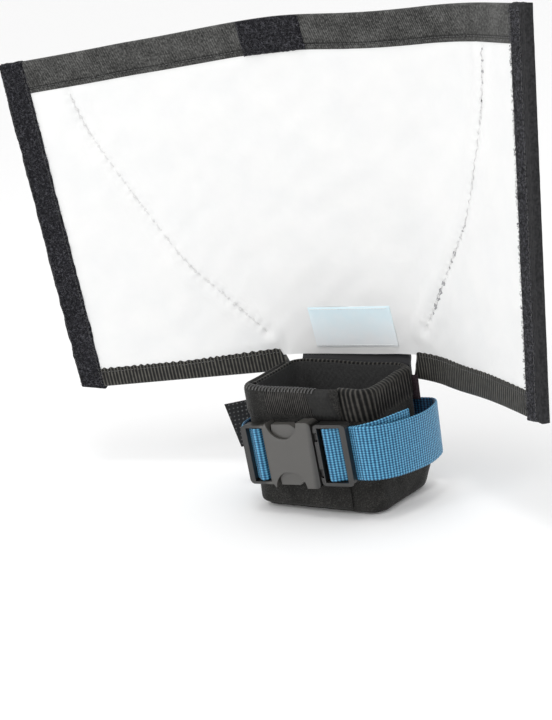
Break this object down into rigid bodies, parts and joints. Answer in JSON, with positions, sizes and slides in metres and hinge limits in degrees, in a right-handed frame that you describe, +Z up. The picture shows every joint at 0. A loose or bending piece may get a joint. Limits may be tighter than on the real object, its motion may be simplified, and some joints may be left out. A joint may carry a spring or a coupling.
{
  "type": "flash snoot and bounce panel",
  "caption": "Bendable fabric flash reflector that rolls into a snoot, on a padded wrap held round a flash head by a webbing belt with a side-release buckle.",
  "frame": {"origin": "centre of the flash head opening, at the wrap's lower rim", "axes": "+Z up along the flash head, -Y towards the buckle, +X towards the side where the belt loops out"},
  "size_m": [0.379, 0.0906, 0.2855],
  "materials": {
    "white_nylon": "semi-matte coated",
    "black_nylon": "matte woven",
    "stiffener": "matte",
    "rod_metal": "satin",
    "twill_binding": "matte twill",
    "ribbed_binding": "ribbed",
    "hook_loop": "fuzzy",
    "label_cloth": "satin woven",
    "grip_rubber": "matte",
    "foam": "matte",
    "wrap_cloth": "matte brushed",
    "buckle_plastic": "satin",
    "belt_webbing": "ribbed webbing"
  },
  "bodies": {
    "wrap": {"grip_lining": "grip_rubber", "foam_core": "foam", "wrap_cover": "wrap_cloth", "lower_binding": "ribbed_binding", "wrap_band": "ribbed_binding", "front_flap": "wrap_cloth", "flap_band": "ribbed_binding", "flap_fastener": "hook_loop", "panel_tab": "wrap_cloth", "belt_tunnel": "wrap_cloth", "pull_tab": "hook_loop", "socket": "buckle_plastic", "socket_belt": "belt_webbing"},
    "middle": {"centre_front": "white_nylon", "centre_liner": "stiffener", "centre_back": "black_nylon", "centre_rod": "rod_metal", "centre_rod_sleeve": "black_nylon", "centre_top_binding": "twill_binding", "top_loop_patch": "hook_loop", "label": "label_cloth"},
    "left_inner": {"left_inner_front": "white_nylon", "left_inner_liner": "stiffener", "left_inner_back": "black_nylon", "left_inner_top_binding": "twill_binding", "left_rod": "rod_metal", "left_rod_sleeve": "black_nylon"},
    "left_outer": {"left_outer_front": "white_nylon", "left_outer_liner": "stiffener", "left_outer_back": "black_nylon", "left_outer_top_binding": "twill_binding", "left_outer_bottom_binding": "ribbed_binding"},
    "left_wing": {"left_wing_front": "white_nylon", "left_wing_liner": "stiffener", "left_wing_back": "black_nylon", "left_wing_top_binding": "twill_binding", "left_wing_bottom_binding": "ribbed_binding", "left_strip": "hook_loop"},
    "right_inner": {"right_inner_front": "white_nylon", "right_inner_liner": "stiffener", "right_inner_back": "black_nylon", "right_inner_top_binding": "twill_binding", "right_rod": "rod_metal", "right_rod_sleeve": "black_nylon"},
    "right_outer": {"right_outer_front": "white_nylon", "right_outer_liner": "stiffener", "right_outer_back": "black_nylon", "right_outer_top_binding": "twill_binding", "right_outer_bottom_binding": "ribbed_binding"},
    "right_wing": {"right_wing_front": "white_nylon", "right_wing_liner": "stiffener", "right_wing_back": "black_nylon", "right_wing_top_binding": "twill_binding", "right_wing_bottom_binding": "ribbed_binding", "right_strip": "hook_loop"},
    "plug": {"plug": "buckle_plastic", "plug_belt": "belt_webbing", "belt_tail": "belt_webbing"},
    "upper_arm": {"upper_arm": "buckle_plastic"},
    "lower_arm": {"lower_arm": "buckle_plastic"}
  },
  "joints": [
    {"name": "panel_tilt", "type": "hinge", "parent": "wrap", "child": "middle", "pos_m": [0, 0.0317, 0.0765], "axis": [1, 0, 0], "range_deg": [-45, 0]},
    {"name": "left_roll", "type": "hinge", "parent": "middle", "child": "left_inner", "pos_m": [-0.05513, 0.01533, 0.17919], "axis": [-0.0395, -0.1391, 0.9895], "range_deg": [-15, 79.6]},
    {"name": "left_crease", "type": "hinge", "parent": "left_inner", "child": "left_outer", "pos_m": [-0.09748, 0.01416, 0.1718], "axis": [-0.3743, -0.1331, 0.9177], "range_deg": [-13.5, 2.58]},
    {"name": "left_wing_fold", "type": "hinge", "parent": "left_outer", "child": "left_wing", "pos_m": [-0.14145, 0.00336, 0.16898], "axis": [-0.0478, -0.0652, 0.9967], "range_deg": [-15.88, 84.05]},
    {"name": "right_roll", "type": "hinge", "parent": "middle", "child": "right_inner", "pos_m": [0.04078, 0.01479, 0.18292], "axis": [0.039, 0.1391, -0.9895], "range_deg": [-15, 81.8]},
    {"name": "right_crease", "type": "hinge", "parent": "right_inner", "child": "right_outer", "pos_m": [0.08359, 0.01277, 0.17878], "axis": [-0.3004, 0.1369, -0.944], "range_deg": [-38.5, 7.1]},
    {"name": "right_wing_fold", "type": "hinge", "parent": "right_outer", "child": "right_wing", "pos_m": [0.12157, -0.01207, 0.1793], "axis": [-0.028, -0.0635, -0.9976], "range_deg": [-15.05, 81.85]},
    {"name": "plug_slide", "type": "slide", "parent": "wrap", "child": "plug", "axis": [0.9981, 0, 0.061], "range_m": [0, 0.021]},
    {"name": "upper_arm_pinch", "type": "hinge", "parent": "plug", "child": "upper_arm", "pos_m": [0.01161, -0.0381, 0.05023], "axis": [0, -1, 0], "range_deg": [0, 6], "stiffness_Nm_per_rad": 1.5},
    {"name": "lower_arm_pinch", "type": "hinge", "parent": "plug", "child": "lower_arm", "pos_m": [0.01295, -0.0381, 0.02827], "axis": [0, 1, 0], "range_deg": [-0.05, 6.05]}
  ],
  "couplings": [
    {"joint": "left_crease", "follows": "left_roll", "ratio": -0.16897},
    {"joint": "left_wing_fold", "follows": "left_roll", "ratio": 1.0553},
    {"joint": "right_crease", "follows": "right_roll", "ratio": -0.47005},
    {"joint": "right_wing_fold", "follows": "right_roll", "ratio": 1},
    {"joint": "lower_arm_pinch", "follows": "upper_arm_pinch", "ratio": 1}
  ]
}
